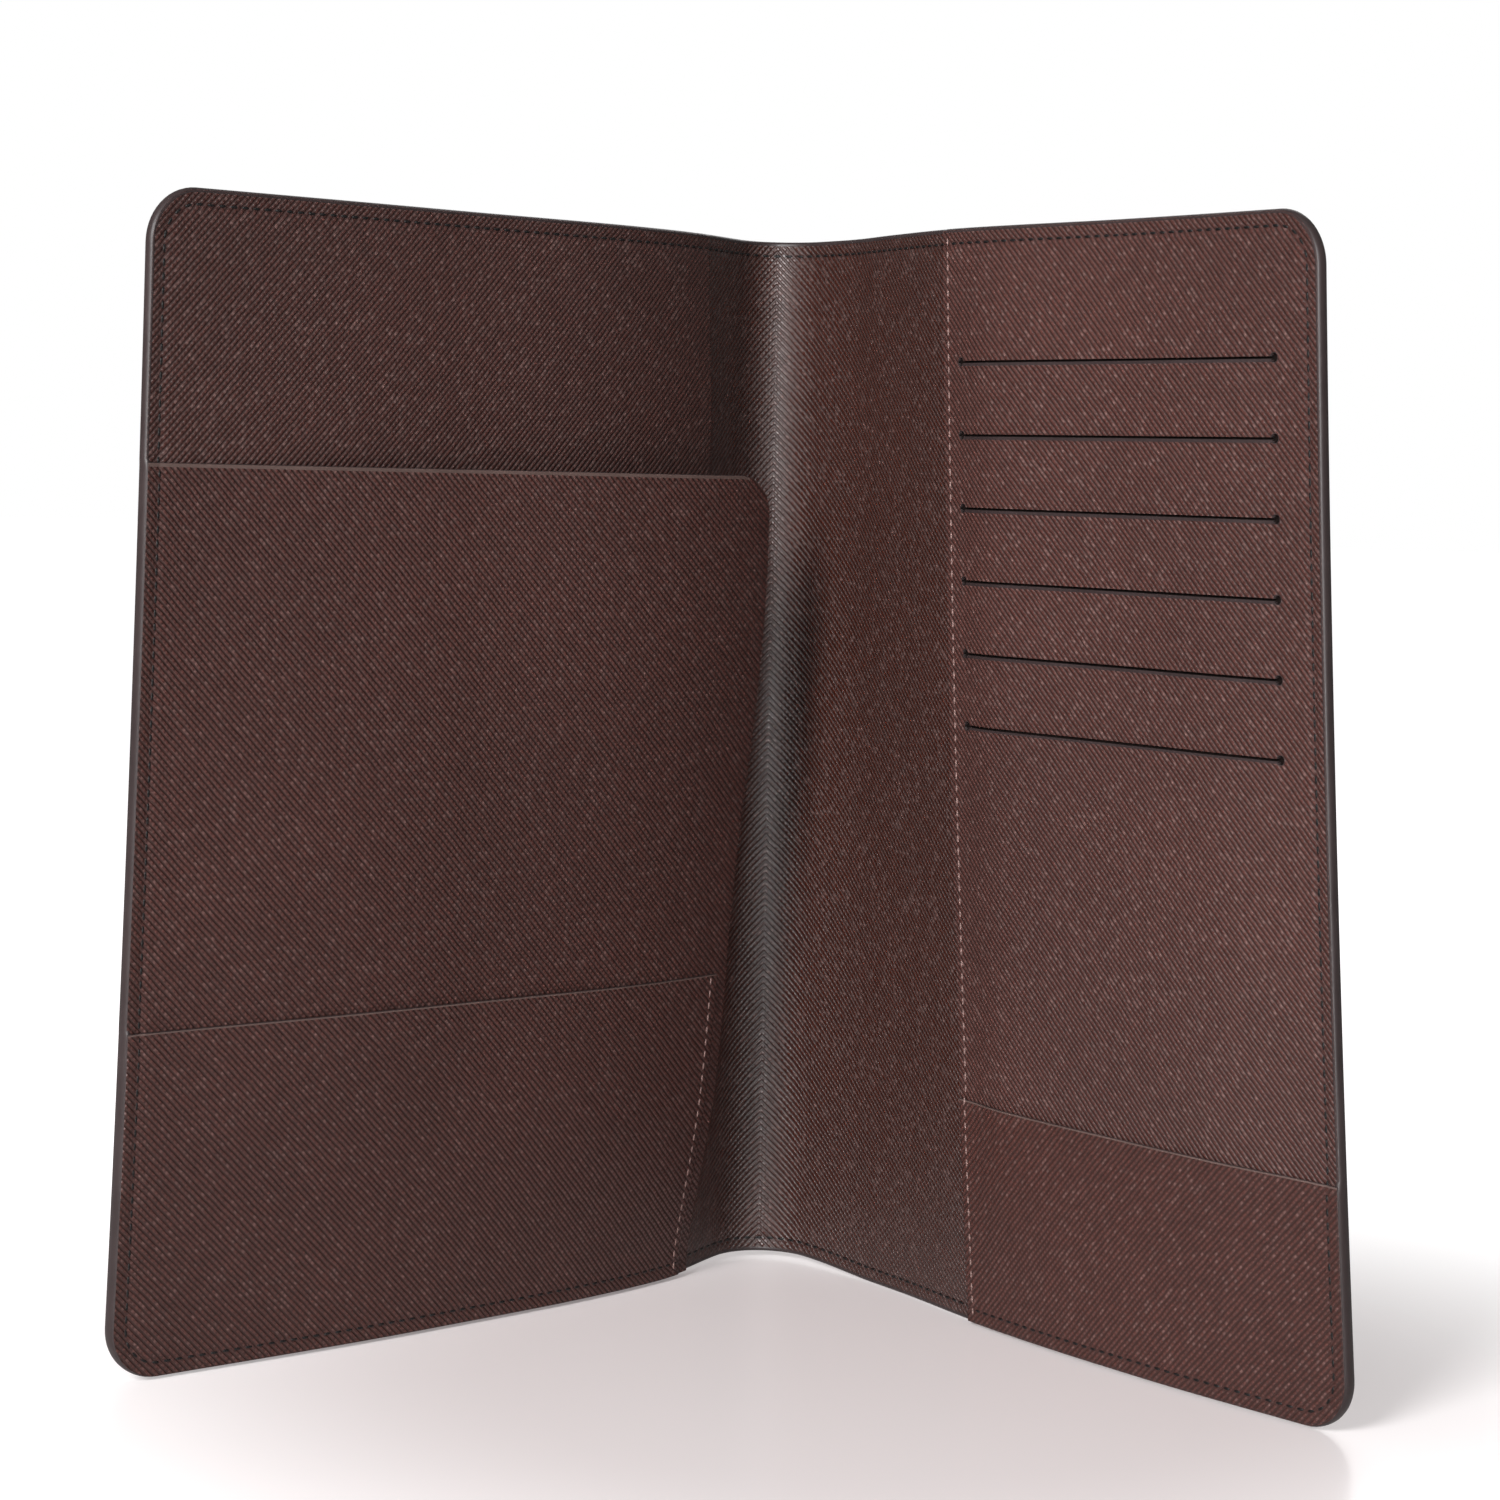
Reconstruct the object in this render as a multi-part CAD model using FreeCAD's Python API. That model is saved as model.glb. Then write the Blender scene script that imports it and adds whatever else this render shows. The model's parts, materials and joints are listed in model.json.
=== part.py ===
"""Book-style document holder standing open in a V on its bottom edges, millimetres.

Row frame: +Z up, +X from the front cover to the back cover, the inside faces -Y.
Origin: on the floor, at the middle of the bounding box.

Each cover is drawn flat in its own frame (s, e, z): s runs from the fold line to the
outer edge, e points out of the cover's outside, z is the height.  The inside surface
of the lining is e = 0.  The back cover is turned into place and the front cover is
placed as its mirror image.
"""
import FreeCAD, Part
import math
import os

V = FreeCAD.Vector
os.makedirs("parts", exist_ok=True)

# ---- driving dimensions -------------------------------------------------------------
height = 245.0            # of both covers
cover_w = 176.0           # fold line to outer edge
corner_r = 11.5           # outer corners of the covers
cover_angle = 50.0        # each cover from the X axis, degrees
fold_gap = 0.55           # cut back each side of a fold line

lining_t = 0.5
board_t = 0.6
skin_t = 0.9
board_inset = 5.0
paint_t = 0.5             # edge paint around the covers

spine_r = 12.5            # inside radius of the curved spine
spine_lift = 1.2          # the spine hangs clear of the floor and the top edge

seam = 6.0                # width of a sewn margin
slip_s = 16.0             # free edge of the slip pocket
slip_wall = 0.8
slip_rise = 1.6           # how far its free edge stands off the lining

leaf_s = 15.0             # free edge of the pocket leaf
leaf_h = 188.0
leaf_t = 0.8
leaf_lift = ((6.0, 0.0), (55.0, 5.5), (130.0, 11.5), (188.0, 13.0))   # height, lift of its free edge
leaf_corner_r = 8.0
leaf_pocket_s = 17.8
leaf_pocket_h = 72.0
leaf_pocket_t = 0.7

card_s = 61.5             # sewn inner edge of the card panel
card_edge_t = 1.0         # panel thickness along its sewn edges
card_face = 2.0           # how far its middle stands off the lining
card_wall = 0.8
slot_count = 6
slot_top_z = 215.2
slot_pitch = 16.2
slot_s0 = 68.0
slot_len = 94.0
slot_gap = 0.8
slot_hole_r = 0.7
sleeve_t = 0.2
sleeve_margin = 1.5
sleeve_above = 4.0        # above its slot
sleeve_below = 56.0       # below its slot
back_pocket_h = 51.0
back_pocket_t = 0.8

stitch_inset = 3.5
stitch_w = 0.5
stitch_t = 0.25

# ---- derived places ------------------------------------------------------------------
cover_t = lining_t + board_t + skin_t
angle = math.radians(cover_angle)
front_stack = slip_wall + leaf_t + leaf_pocket_t
reach_back = spine_r + cover_t
reach_front = (cover_w * math.sin(angle) + front_stack * math.cos(angle)
               - spine_r * math.cos(angle))
spine_y = (reach_front - reach_back) / 2.0
fold_x = spine_r * math.sin(angle)
fold_y = spine_y + spine_r * math.cos(angle)


# ---- helpers -------------------------------------------------------------------------
def save(shape, name):
    shape.exportStep("parts/" + name + ".step")


def box(s0, s1, e0, e1, z0, z1):
    return Part.makeBox(s1 - s0, e1 - e0, z1 - z0, V(s0, e0, z0))


def prism_z(points, z0, z1):
    """Extrude an (s, e) outline from z0 to z1."""
    wire = Part.makePolygon([V(s, e, z0) for s, e in points + points[:1]])
    return Part.Face(wire).extrude(V(0, 0, z1 - z0))


def ruled(low, z0, high, z1):
    """Straight-ruled solid between two (s, e) outlines at two heights."""
    wires = []
    for points, z in ((low, z0), (high, z1)):
        wires.append(Part.makePolygon([V(s, e, z) for s, e in points + points[:1]]))
    return Part.makeLoft(wires, True, True)


def panel_outline(s0, s1, z0, z1, radii):
    """Prism along e of a panel seen flat; radii: outer bottom, outer top, inner top."""
    r_ob, r_ot, r_it = radii
    edges = []
    pen = V(s0, -30, z0)

    def line_to(s, z):
        nonlocal pen
        end = V(s, -30, z)
        edges.append(Part.makeLine(pen, end))
        pen = end

    def corner(cs, cz, r, start):
        nonlocal pen
        mid = math.radians(start + 45)
        end = math.radians(start + 90)
        p_mid = V(cs + r * math.cos(mid), -30, cz + r * math.sin(mid))
        p_end = V(cs + r * math.cos(end), -30, cz + r * math.sin(end))
        edges.append(Part.Arc(pen, p_mid, p_end).toShape())
        pen = p_end

    line_to(s1 - r_ob, z0)
    if r_ob:
        corner(s1 - r_ob, z0 + r_ob, r_ob, -90)
    line_to(s1, z1 - r_ot)
    if r_ot:
        corner(s1 - r_ot, z1 - r_ot, r_ot, 0)
    line_to(s0 + r_it, z1)
    if r_it:
        corner(s0 + r_it, z1 - r_it, r_it, 90)
    line_to(s0, z0)
    return Part.Face(Part.Wire(edges)).extrude(V(0, 60, 0))


def cover_outline(inset):
    radii = (corner_r - inset, corner_r - inset, 0)
    return panel_outline(fold_gap, cover_w - inset, inset, height - inset, radii)


def place_back(shape):
    shape = shape.copy()
    shape.rotate(V(0, 0, 0), V(0, 0, 1), -cover_angle)
    shape.translate(V(fold_x, fold_y, 0))
    return shape


def place_front(shape):
    return place_back(shape).mirror(V(0, 0, 0), V(1, 0, 0))


def save_back(shape, name):
    save(place_back(shape), name)


def save_front(shape, name):
    save(place_front(shape), name)


# ---- the two covers' own layers --------------------------------------------------------
def cover_layers():
    """Outer skin with a recess for the board, board, lining and edge paint."""
    inner = cover_outline(paint_t)
    board_zone = box(board_inset, cover_w - board_inset,
                     lining_t, lining_t + board_t, board_inset, height - board_inset)
    lining = inner.common(box(0, cover_w, 0, lining_t, 0, height))
    skin = inner.common(box(0, cover_w, lining_t, cover_t, 0, height)).cut(board_zone)
    band = cover_outline(0.0).cut(inner)
    paint = band.common(box(0, cover_w, 0, cover_t, 0, height))
    return skin, board_zone, lining, paint


def stitch_band(s0, s1, z0, z1):
    """Frame-shaped prism along e, one stitch wide, around a rectangle of seams."""
    r = corner_r - stitch_inset
    outer = panel_outline(s0, s1, z0, z1, (r, r, 0))
    r -= stitch_w
    inner = panel_outline(s0 + stitch_w, s1 - stitch_w, z0 + stitch_w, z1 - stitch_w, (r, r, 0))
    return outer.cut(inner)


def thread_on(piece, band):
    """Raised thread where the band crosses the piece's inside face."""
    raised = piece.copy()
    raised.translate(V(0, -stitch_t, 0))
    return raised.cut(piece).common(band)


# ---- front cover: slip pocket and pocket leaf -------------------------------------------
def slip_e(s):
    """Inside face of the slip pocket: it opens towards its free edge."""
    return -slip_wall - slip_rise * (cover_w - s) / (cover_w - slip_s)


def slip_pocket():
    rise = slip_rise * (cover_w - slip_s + 1) / (cover_w - slip_s)
    body = prism_z([(cover_w, 0), (cover_w, -slip_wall), (slip_s, slip_e(slip_s)), (slip_s, 0)],
                   0, height)
    hollow = prism_z([(cover_w, 0), (slip_s - 1, -rise), (slip_s - 1, 0)], seam, height - seam)
    hollow = hollow.common(box(0, cover_w - seam, -5, 0, 0, height))
    return body.cut(hollow).common(cover_outline(0.0))


def lift_at(z):
    """Lift of the leaf's free edge at height z, straight between the listed heights."""
    for (z0, lift0), (z1, lift1) in zip(leaf_lift, leaf_lift[1:]):
        if z <= z1:
            return lift0 + (lift1 - lift0) * (z - z0) / (z1 - z0)
    return leaf_lift[-1][1]


def leaf_back(s, z):
    """Side of the leaf that faces the slip pocket: sewn outside and below, lifted inside."""
    if s >= cover_w - seam:
        return slip_e(s)
    across = (cover_w - seam - s) / (cover_w - seam - leaf_s)
    return slip_e(s) - lift_at(z) * across


def leaf_section(s0, z, near, far):
    """Outline across the leaf at height z, between two offsets from its back."""
    stops = (s0, cover_w - seam, cover_w)
    front = [(s, leaf_back(s, z) - far) for s in stops]
    back = [(s, leaf_back(s, z) - near) for s in reversed(stops)]
    return front + back


def leaf_slab(s0, top, near, far):
    """The leaf, or the pocket on it, up to a height: flat in the bottom seam, ruled above it."""
    slab = prism_z(leaf_section(s0, seam, near, far), 0, seam)
    levels = [z for z, lift in leaf_lift if z < top] + [top]
    for low, high in zip(levels, levels[1:]):
        low_section = leaf_section(s0, low, near, far)
        high_section = leaf_section(s0, high, near, far)
        slab = slab.fuse(ruled(low_section, low, high_section, high))
    return slab


def pocket_leaf():
    outline = panel_outline(leaf_s, cover_w, 0, leaf_h, (corner_r, 0, leaf_corner_r))
    return leaf_slab(leaf_s, leaf_h, 0, leaf_t).common(outline)


def leaf_pocket():
    outline = panel_outline(leaf_pocket_s, cover_w, 0, leaf_pocket_h, (corner_r, 0, 0))
    slab = leaf_slab(leaf_pocket_s, leaf_pocket_h, leaf_t, leaf_t + leaf_pocket_t)
    return slab.common(outline)


def build_front_cover():
    skin, board, lining, paint = cover_layers()
    save_front(skin, "front_outer_skin")
    save_front(board, "front_board")
    save_front(lining, "front_lining")
    save_front(paint, "front_edge_paint")
    slip = slip_pocket()
    save_front(slip, "front_slip_pocket")
    save_front(pocket_leaf(), "front_pocket_leaf")
    low_pocket = leaf_pocket()
    save_front(low_pocket, "leaf_lower_pocket")
    edge = cover_w - stitch_inset
    top = height - stitch_inset
    above_leaf = box(slip_s, cover_w, -30, 30, leaf_h, height)
    band = stitch_band(slip_s - 5, edge, 100, top).common(above_leaf)
    save_front(thread_on(slip, band), "front_stitching")
    below_top = box(0, cover_w, -30, 30, 0, leaf_pocket_h)
    band = stitch_band(leaf_pocket_s + 2, edge, stitch_inset, 150).common(below_top)
    save_front(thread_on(low_pocket, band), "leaf_pocket_stitching")


# ---- back cover: card panel, sleeves and lower pocket -------------------------------------
def card_profile(offset):
    """Inside face of the card panel across the cover, moved inwards by offset."""
    stops = ((card_s, card_edge_t), (card_s + 4.5, card_face),
             (cover_w - 10, card_face), (cover_w - 4, card_edge_t), (cover_w, card_edge_t))
    return [(s, -e - offset) for s, e in stops]


def slot_z(i):
    return slot_top_z - i * slot_pitch


def card_panel():
    body = prism_z(card_profile(0) + [(cover_w, 0), (card_s, 0)], 0, height)
    hollow_e = card_face - card_wall
    body = body.cut(box(slot_s0 - sleeve_margin, slot_s0 + slot_len + sleeve_margin,
                        -hollow_e, 0, seam, height - seam))
    for i in range(slot_count):
        z = slot_z(i)
        body = body.cut(box(slot_s0, slot_s0 + slot_len, -5, -hollow_e,
                            z - slot_gap / 2, z + slot_gap / 2))
        for s in (slot_s0, slot_s0 + slot_len):
            body = body.cut(Part.makeCylinder(slot_hole_r, 5, V(s, -5, z), V(0, 1, 0)))
    return body.common(cover_outline(0.0))


def card_sleeve(i):
    z = slot_z(i)
    return box(slot_s0 - sleeve_margin, slot_s0 + slot_len + sleeve_margin,
               -(i + 1) * sleeve_t, -i * sleeve_t, z - sleeve_below, z + sleeve_above)


def back_pocket():
    points = card_profile(back_pocket_t) + card_profile(0)[::-1]
    return prism_z(points, 0, back_pocket_h).common(cover_outline(0.0))


def build_back_cover():
    skin, board, lining, paint = cover_layers()
    save_back(skin, "back_outer_skin")
    save_back(board, "back_board")
    save_back(lining, "back_lining")
    save_back(paint, "back_edge_paint")
    panel = card_panel()
    save_back(panel, "card_panel")
    for i in range(slot_count):
        save_back(card_sleeve(i), "card_sleeve_" + str(i + 1))
    pocket = back_pocket()
    save_back(pocket, "back_lower_pocket")
    edge = cover_w - stitch_inset
    band = stitch_band(card_s + 2, edge, stitch_inset, height - stitch_inset)
    above = box(0, cover_w, -30, 30, back_pocket_h, height)
    below = box(0, cover_w, -30, 30, 0, back_pocket_h)
    save_back(thread_on(panel, band.common(above)), "card_panel_stitching")
    save_back(thread_on(pocket, band.common(below)), "back_pocket_stitching")


# ---- spine ---------------------------------------------------------------------------
def spine_ring(r0, r1, z0, z1):
    """Arc-shaped layer of the spine between two radii, cut back at both folds."""
    half = cover_angle - math.degrees(fold_gap / spine_r)
    outer = Part.makeCylinder(r1, z1 - z0, V(0, spine_y, z0), V(0, 0, 1), 2 * half)
    ring = outer.cut(Part.makeCylinder(r0, z1 - z0, V(0, spine_y, z0), V(0, 0, 1)))
    ring.rotate(V(0, spine_y, 0), V(0, 0, 1), 90 - half)
    return ring


def build_spine():
    r1 = spine_r + lining_t
    r2 = r1 + board_t
    r3 = r2 + skin_t
    low = spine_lift
    high = height - spine_lift
    save(spine_ring(spine_r, r1, low + paint_t, high - paint_t), "spine_lining")
    save(spine_ring(r1, r2, low + paint_t, high - paint_t), "spine_stiffener")
    save(spine_ring(r2, r3, low + paint_t, high - paint_t), "spine_outer_skin")
    save(spine_ring(spine_r, r3, high - paint_t, high), "spine_top_edge_paint")
    save(spine_ring(spine_r, r3, low, low + paint_t), "spine_bottom_edge_paint")
    for name, z in (("spine_top_stitching", high - stitch_inset),
                    ("spine_bottom_stitching", low + stitch_inset - stitch_w)):
        save(spine_ring(spine_r - stitch_t, spine_r, z, z + stitch_w), name)


build_front_cover()
build_back_cover()
build_spine()
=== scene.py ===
"""Looks of a book-style leather document holder that stands open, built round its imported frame."""
import json
import math

import bpy
import numpy as np
from bpy.props import FloatProperty, FloatVectorProperty, IntProperty, PointerProperty
from mathutils import Matrix, Vector


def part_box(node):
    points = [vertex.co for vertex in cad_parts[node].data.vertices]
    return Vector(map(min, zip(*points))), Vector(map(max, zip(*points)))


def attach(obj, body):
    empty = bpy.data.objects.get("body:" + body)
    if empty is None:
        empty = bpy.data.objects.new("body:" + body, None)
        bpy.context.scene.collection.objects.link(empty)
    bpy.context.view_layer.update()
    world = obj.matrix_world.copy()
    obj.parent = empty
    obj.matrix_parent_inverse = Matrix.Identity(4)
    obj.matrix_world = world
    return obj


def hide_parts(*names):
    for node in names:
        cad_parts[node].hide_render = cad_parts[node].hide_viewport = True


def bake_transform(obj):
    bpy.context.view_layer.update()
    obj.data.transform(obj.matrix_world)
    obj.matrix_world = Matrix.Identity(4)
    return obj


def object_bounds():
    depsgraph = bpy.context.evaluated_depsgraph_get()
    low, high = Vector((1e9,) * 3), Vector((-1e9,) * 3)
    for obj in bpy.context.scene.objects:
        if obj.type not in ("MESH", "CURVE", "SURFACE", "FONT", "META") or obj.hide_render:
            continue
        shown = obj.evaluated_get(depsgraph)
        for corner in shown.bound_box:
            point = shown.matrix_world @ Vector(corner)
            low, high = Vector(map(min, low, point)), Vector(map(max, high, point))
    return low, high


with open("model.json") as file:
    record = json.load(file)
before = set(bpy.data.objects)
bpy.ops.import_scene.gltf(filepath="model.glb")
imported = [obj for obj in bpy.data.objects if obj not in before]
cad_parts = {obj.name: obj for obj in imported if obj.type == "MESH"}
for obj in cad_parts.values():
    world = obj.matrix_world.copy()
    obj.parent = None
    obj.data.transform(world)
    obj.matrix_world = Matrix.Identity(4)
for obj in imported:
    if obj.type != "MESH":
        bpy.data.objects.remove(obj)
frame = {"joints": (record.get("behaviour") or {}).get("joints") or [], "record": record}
cad_box = [list(corner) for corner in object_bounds()]

bl_info = {
    "name": "Document holder",
    "version": (1, 0, 0),
    "blender": (4, 5, 0),
    "location": "View3D > Sidebar > Holder",
    "description": "Builds the leather, edges, thread and pockets of a book-style document holder",
    "category": "Add Mesh",
}

MM = 0.001
FRONT, BACK = -1, 1        # which way each cover runs from the spine along X
SIDES = ((FRONT, "front"), (BACK, "back"))

# ---- the frame's own places ----
joints = {joint["name"]: joint for joint in frame["joints"]}
mounts = {mount["name"]: mount for mount in frame["record"]["mounts"]}
SIN, COS = mounts["back_face"]["axis"][:2]
AXIS_DEPTH = 1.0 * MM      # the folds' axes lie this far outside the lining
FOLD_X = joints["back_cover_fold"]["pos_m"][0] - AXIS_DEPTH * SIN
FOLD_Y = joints["back_cover_fold"]["pos_m"][1] - AXIS_DEPTH * COS
SPINE_R = FOLD_X / SIN
SPINE_Y = FOLD_Y - SPINE_R * COS
SPINE_HALF = SPINE_R * math.atan2(SIN, COS)
HEIGHT = cad_box[1][2]
COVER_W = (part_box("back_lining")[1].x - FOLD_X - 0.5 * MM * SIN) / COS
EDGE = 0.5 * MM            # room left outside the leather for the painted edge
CORNER_R = 11.5 * MM - EDGE
# Width of the smooth, lighter strip below the open edge of the leaf, and of the low pockets: a painted
# highlight.
LEAF_LIP, LOW_LIP = 0.75 * MM, 0.35 * MM

FINE_STEP = 0.75 * MM      # grid lines are this close together near sewn edges
SLOT_DEPTH = 0.75 * MM     # how far the slots and holes are cut into the card panel
CLEAR = 0.03 * MM          # air left between two layers of leather
SLEEVE_DROP = 50 * MM      # how far a card sleeve hangs below its slot

FLOOR_Z = -0.4 * MM        # the floor lies just under the holder
# Middle of the painted shadow on the floor round the holder, and where it starts and stops fading, in metres.
PAINTED_SHADOW_CENTRE, PAINTED_SHADOW_REACH = (0.03, -0.04, 0.0), (0.07, 0.27)
# Where the camera stands, its yaw, pitch and roll in degrees, and its focal length in millimetres.
CAMERA_SPOT, CAMERA_TURN, CAMERA_LENS = (0.0483, -0.7672, 0.1916), (3.5, -4.63, 1.31), 84.0

# How the lining stands off the frame's flat planes, millimetres: flat distance from the spine's middle,
# shift in x and y at the foot, the same at the head, and what half-way up adds to the line between them.
SWAY = np.array((
    (-186.9, -2.5, 1.7, 6.4, -4.6, 1.1, -1.0),
    (-106.9, 4.2, -3.7, 7.9, -6.2, 0.3, -0.3),
    (-26.9, 3.6, -4.2, 5.8, -5.6, 0.0, 0.0),
    (0.0, 1.8, 2.2, 0.8, 2.2, 0.0, 0.0),
    (24.9, 4.6, 1.7, 1.0, 1.7, 0.0, 0.0),
    (41.9, 5.6, -0.5, -2.5, -0.1, -0.5, 0.3),
    (72.4, 4.9, -4.6, -7.9, -2.1, -1.1, 0.3),
    (129.9, 4.5, -4.9, -6.4, -0.9, -0.6, 0.0),
    (186.9, 7.8, -2.0, -7.3, -1.7, -1.1, -1.0),
)) * MM
# Height, lift of the pocket leaf's free edge, millimetres.
LEAF_LIFT = np.array((
    (6.0, 0.0), (30.0, 2.9), (55.0, 5.4), (85.0, 7.3),
    (112.0, 9.6), (136.0, 12.4), (164.0, 14.2), (188.0, 14.2),
)) * MM


# ---- sizes and colours a user would change ----
def size(name, description, millimetres):
    return FloatProperty(name=name, description=description, default=millimetres * MM, min=0.0,
                         unit="LENGTH", precision=5)


def colour(name, description, value):
    return FloatVectorProperty(name=name, description=description, default=value, subtype="COLOR", size=3,
                               min=0.0, max=1.0)


def strength(name, description, value, unit="NONE"):
    return FloatProperty(name=name, description=description, default=value, min=0.0, unit=unit)


class HolderShape(bpy.types.PropertyGroup):
    """Sizes of the leather pieces."""
    lining: size("Lining", "Thickness of the lining", 0.5)
    cover: size("Cover", "Thickness of a cover from the lining's face to the outside", 1.8)
    slip: size("Slip pocket leather", "Thickness of the slip pocket", 0.6)
    slip_start: size("Slip pocket start", "Flat distance from the fold to the slip pocket's open edge", 16.0)
    slip_rise: size("Slip pocket rise", "How far the slip pocket's open edge stands off the lining", 2.0)
    leaf: size("Leaf leather", "Thickness of the pocket leaf", 0.6)
    leaf_start: size("Leaf start", "Flat distance from the fold to the leaf's free edge", 14.0)
    leaf_height: size("Leaf height", "Height of the pocket leaf", 189.6)
    leaf_corner: size("Leaf corner", "Radius of the leaf's free corner", 8.5)
    leaf_pocket: size("Leaf pocket leather", "Thickness of the low pocket on the leaf", 0.5)
    leaf_pocket_start: size("Leaf pocket start", "Flat distance from the fold to its sewn edge", 17.4)
    leaf_pocket_height: size("Leaf pocket height", "Height of the low pocket on the leaf", 73.4)
    panel_start: size("Card panel start", "Flat distance from the fold to the card panel's sewn edge", 61.5)
    panel_edge: size("Card panel edge", "Thickness of the card panel along its seams", 0.8)
    panel_face: size("Card panel face", "How far the card panel's middle stands off the lining", 1.9)
    back_pocket: size("Back pocket leather", "Thickness of the low pocket on the card panel", 0.5)
    back_pocket_height: size("Back pocket height", "Height of the low pocket on the card panel", 51.0)
    slot_top: size("Top slot height", "Height of the top card slot", 215.6)
    slot_pitch: size("Slot pitch", "Distance from one card slot to the next", 16.05)
    slot_start: size("Slot start", "Flat distance from the fold to the slots' inner ends", 68.2)
    slot_length: size("Slot length", "Length of a card slot", 94.6)
    slot_gap: size("Slot gap", "Width of a card slot's opening", 0.42)
    slot_hole: size("Slot hole", "Radius of the punched hole at each end of a slot", 0.85)
    slots: IntProperty(name="Card slots", description="Number of card slots", default=6, min=1, max=6)


class HolderThread(bpy.types.PropertyGroup):
    """Sizes of the stitching."""
    inset: size("Inset", "Distance of the stitches from the edge", 3.4)
    pitch: size("Pitch", "Distance from one stitch to the next", 2.8)
    length: size("Length", "Length of one stitch", 1.8)
    width: size("Width", "Width of the thread", 0.62)
    proud: size("Proud", "Thickness of the thread", 0.34)


class HolderFinish(bpy.types.PropertyGroup):
    """Colours and grain."""
    panel: colour("Panel leather", "Raised grain of the pockets and panels", (0.094, 0.034, 0.028))
    lining: colour("Lining leather", "Raised grain of the lining", (0.047, 0.0075, 0.0025))
    canvas: colour("Outer canvas", "Raised grain of the outside", (0.090, 0.048, 0.038))
    pits: colour("Grain pits", "Colour at the bottom of the grain", (0.034, 0.011, 0.008))
    # Painted glints: the few grain tops painted bright.
    painted_glint: colour("Painted glint on grain", "Colour of the few bumps painted bright as glints", (0.26, 0.16, 0.145))
    paint: colour("Edge paint", "Painted edges", (0.022, 0.014, 0.014))
    # Lighter lips along the open edges: painted highlight.
    painted_lip_highlight: colour("Lip painted highlight", "Smooth lips along the pockets' open edges", (0.075, 0.048, 0.042))
    dark_thread: colour("Dark thread", "Stitches round the covers", (0.0035, 0.002, 0.002))
    light_thread: colour("Light thread", "Stitches along the inner seams", (0.32, 0.20, 0.18))
    # Dark enough to stand as painted shade inside the slots and holes.
    sleeve: colour("Sleeve cloth", "Cloth inside the card slots", (0.012, 0.007, 0.006))
    grain: size("Grain pitch", "Distance from one row of grain to the next", 1.12)
    grain_depth: size("Grain depth", "Depth of the grain", 0.27)


class HolderStage(bpy.types.PropertyGroup):
    """Floor and light."""
    floor: colour("Floor", "Colour of the floor", (0.86, 0.82, 0.82))
    backdrop: strength("Backdrop", "Brightness of the white seen behind", 1.0)
    bounce: strength("Bounce", "Light from the white surroundings", 0.22)
    glow: strength("Floor glow", "Light seen from the floor itself", 0.85)
    # Glow colour close to the holder: painted shadow on the floor.
    floor_painted_shadow: colour("Floor glow close by", "Colour of that light close to the holder", (0.2, 0.17, 0.17))
    key: strength("Key light", "Strength of the soft light in front", 25.0, "POWER")
    fill: strength("Fill light", "Strength of the soft light on the right", 2.0, "POWER")
    back: strength("Back light", "Strength of the soft light behind", 4.0, "POWER")
    glint: strength("Glint light", "Strength of the strip that only gloss shows", 36.0, "POWER")


# ---- shape of the whole holder ----
def smooth_curve(x, at, values):
    """Smooth curve through the values, level beyond the first and last."""
    slope = np.gradient(values, at)
    x = np.clip(x, at[0], at[-1])
    i = np.clip(np.searchsorted(at, x) - 1, 0, len(at) - 2)
    width = at[i + 1] - at[i]
    t = (x - at[i]) / width
    return ((2 * t**3 - 3 * t**2 + 1) * values[i] + (t**3 - 2 * t**2 + t) * width * slope[i]
            + (3 * t**2 - 2 * t**3) * values[i + 1] + (t**3 - t**2) * width * slope[i + 1])


def ease(x):
    """0 below 0, 1 above 1, and smooth between."""
    x = np.clip(x, 0.0, 1.0)
    return x * x * (3 - 2 * x)


def lining_face(u, z):
    """Point on the lining's face, u being the flat distance from the spine's middle, + on the back cover."""
    up = np.clip(z / HEIGHT, 0.0, 1.0)
    reach = np.abs(u)
    turn = np.minimum(reach, SPINE_HALF) / SPINE_R
    run = np.maximum(reach - SPINE_HALF, 0.0)
    middle = 4 * up * (1 - up)
    x = np.sign(u) * (SPINE_R * np.sin(turn) + run * COS)
    y = SPINE_Y + SPINE_R * np.cos(turn) - run * SIN
    for share, column in ((1 - up, 1), (up, 3), (middle, 5)):
        x = x + share * smooth_curve(u, SWAY[:, 0], SWAY[:, column])
        y = y + share * smooth_curve(u, SWAY[:, 0], SWAY[:, column + 1])
    near_spine = 1 - ease((reach - 9 * MM) / (26 * MM))
    lift = 1.2 * MM * near_spine * ease(1 - z / (40 * MM))
    return np.stack([x, y, z + lift], axis=-1)


def normal_at(u, z):
    """Unit normal of the lining's face, towards the inside of the holder."""
    step = 0.4 * MM
    across = lining_face(u + step, z) - lining_face(u - step, z)
    upward = lining_face(u, z + step) - lining_face(u, z - step)
    normal = np.cross(across, upward)
    return normal / np.linalg.norm(normal, axis=-1, keepdims=True)


def place(side, s, n, z):
    """Point at flat distance s from a cover's fold, height z, and n towards the inside."""
    u = side * (np.asarray(s, float) + SPINE_HALF)
    z = np.asarray(z, float)
    return lining_face(u, z) + normal_at(u, z) * np.asarray(n, float)[..., None]


def cover_margin(s, z):
    """Distance of a flat place from a cover's outline at the head, foot and outer edge."""
    right, up = COVER_W - s, np.minimum(z, HEIGHT - z)
    radius = CORNER_R + EDGE
    in_corner = (right < radius) & (up < radius)
    round_off = radius - np.hypot(radius - right, radius - up)
    return np.where(in_corner, round_off, np.minimum(right, up))


def sewn_in(s, z):
    """How far the stitches pull the leather down along their line."""
    sizes = bpy.context.scene.holder_thread
    return 0.22 * MM * np.exp(-((cover_margin(s, z) - sizes.inset) / (0.75 * MM)) ** 2)


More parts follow.
